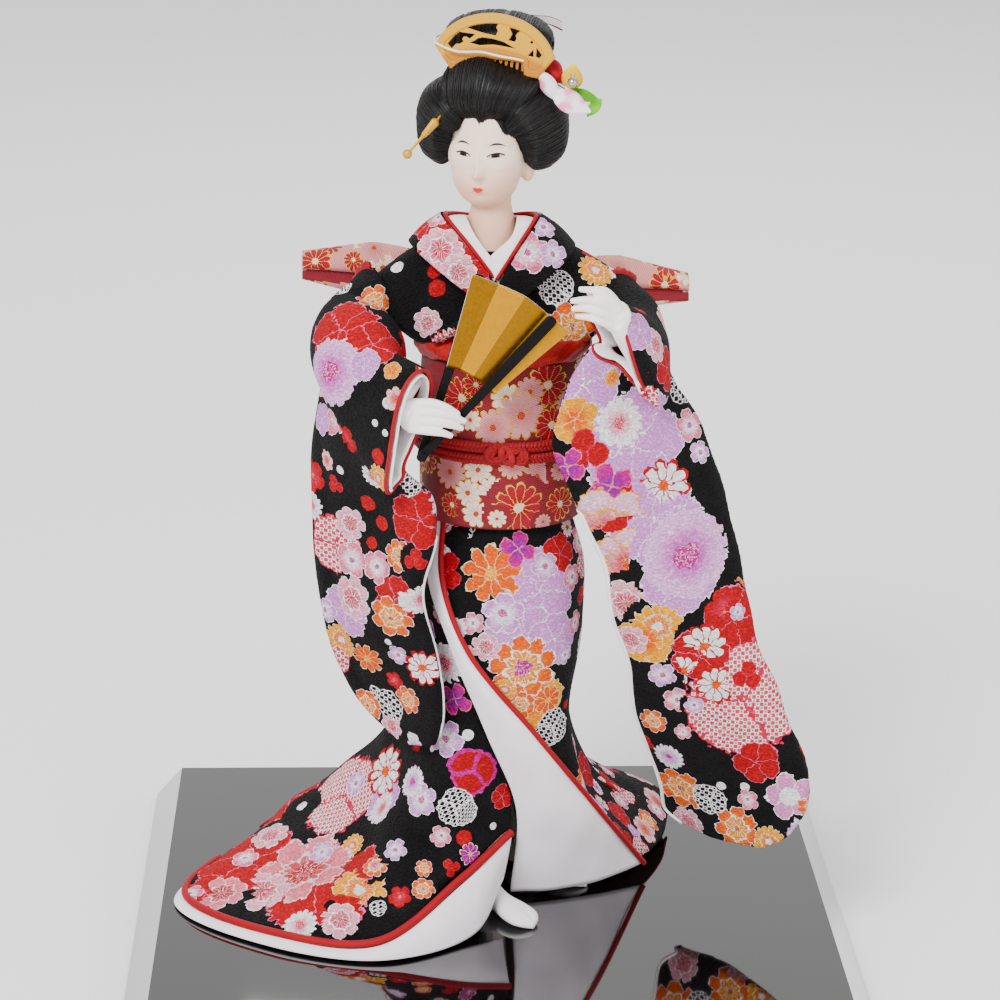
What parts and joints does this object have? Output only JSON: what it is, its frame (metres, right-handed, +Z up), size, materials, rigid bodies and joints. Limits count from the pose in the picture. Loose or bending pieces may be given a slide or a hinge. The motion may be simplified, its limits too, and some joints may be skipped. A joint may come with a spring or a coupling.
{
  "type": "japanese doll",
  "caption": "Standing display doll in a long-sleeved printed kimono with brocade sash, dressed hair, gold comb and folding fan, on a black lacquered board.",
  "frame": {"origin": "centre of the stand's underside, on the surface that it rests on", "axes": "+Z up, the doll faces -Y, +X towards the wearer's left sleeve"},
  "size_m": [0.29, 0.25, 0.3764],
  "materials": {
    "black_lacquer": "high-gloss black lacquer over a wooden board",
    "foot_rubber": "matt strip",
    "steel": "drawn wire and plain nuts",
    "wrapped_paper": "paper wound round wire",
    "packed_straw": "bundled straw, bound tight",
    "peg_wood": "plain turned wood",
    "tabi_cloth": "smooth white cotton",
    "white_skin": "satin shell-white coat on cast stone powder",
    "hair": "glossy combed fibre",
    "twisted_paper": "stiff paper with gold thread",
    "gilt_metal": "bright gilt stamping",
    "red_crepe": "folded crepe petals",
    "pink_crepe": "folded crepe petals",
    "yellow_crepe": "folded crepe petals",
    "green_crepe": "folded crepe leaves",
    "black_guard": "black, polished",
    "gold_paper": "pleated gold-leaf paper",
    "printed_crepe": "grained crepe with a dense flower print on black and red",
    "white_silk": "smooth plain weave",
    "red_silk": "braided and tie-dyed red silk",
    "brocade": "red brocade with gold-outlined flowers"
  },
  "bodies": {
    "doll": {"base_board": "black_lacquer", "base_strip_left": "foot_rubber", "base_strip_right": "foot_rubber", "leg_rod_left": "steel", "leg_rod_right": "steel", "rod_nut_left": "steel", "rod_nut_right": "steel", "leg_left": "wrapped_paper", "leg_right": "wrapped_paper", "tabi_foot_left": "tabi_cloth", "tabi_foot_right": "tabi_cloth", "arm_left": "wrapped_paper", "arm_right": "wrapped_paper", "torso_core": "packed_straw", "hand_left": "white_skin", "hand_right": "white_skin", "fan_guard_rear": "black_guard", "fan_leaf": "gold_paper", "fan_rivet": "steel", "kimono_bodice": "printed_crepe", "kimono_collar": "printed_crepe", "under_collar": "white_silk", "collar_edging": "red_silk", "sleeve_left": "printed_crepe", "sleeve_right": "printed_crepe", "sleeve_lining_left": "white_silk", "sleeve_lining_right": "white_silk", "obi": "brocade", "bow_knot": "brocade", "bow_tail": "brocade", "bow_loop_left": "brocade", "bow_loop_right": "brocade", "obi_cord": "red_silk", "obi_scarf": "red_silk", "skirt_panel_right": "printed_crepe", "skirt_back": "printed_crepe", "skirt_panel_left": "printed_crepe", "skirt_facing": "white_silk", "hem_band_right": "white_silk", "skirt_piping": "red_silk"},
    "dressed_head": {"neck_peg": "peg_wood", "head": "white_skin", "hair_front": "hair", "hair_wing_left": "hair", "hair_wing_right": "hair", "hair_back": "hair", "topknot": "hair", "hair_tie": "twisted_paper", "paper_ribbon": "twisted_paper"},
    "comb": {"comb": "gilt_metal"},
    "hairpin": {"hairpin": "gilt_metal"},
    "flower_spray": {"flower_pin": "steel", "crepe_flower_red": "red_crepe", "crepe_petal_pink": "pink_crepe", "crepe_petal_yellow": "yellow_crepe", "crepe_leaf_green": "green_crepe", "flower_bell": "gilt_metal"},
    "fan_front_guard": {"fan_guard_front": "black_guard"}
  },
  "joints": [
    {"name": "head_turn", "type": "hinge", "parent": "doll", "child": "dressed_head", "pos_m": [-0.0035, 0.0005, 0.29], "axis": [0, 0, 1], "range_deg": [-20, 20]},
    {"name": "fan_fold", "type": "hinge", "parent": "doll", "child": "fan_front_guard", "pos_m": [-0.03, -0.0464, 0.217], "axis": [0, -1, 0], "range_deg": [-4, 24], "deforming": ["fan_leaf"]},
    {"name": "comb_slide", "type": "slide", "parent": "dressed_head", "child": "comb", "axis": [0.0538, 0.2008, 0.9782], "range_m": [0, 0.02]},
    {"name": "hairpin_slide", "type": "slide", "parent": "dressed_head", "child": "hairpin", "axis": [-0.6562, -0.2634, -0.7071], "range_m": [0, 0.025]},
    {"name": "flower_slide", "type": "slide", "parent": "dressed_head", "child": "flower_spray", "axis": [0.7792, -0.5455, -0.3087], "range_m": [0, 0.025]}
  ]
}
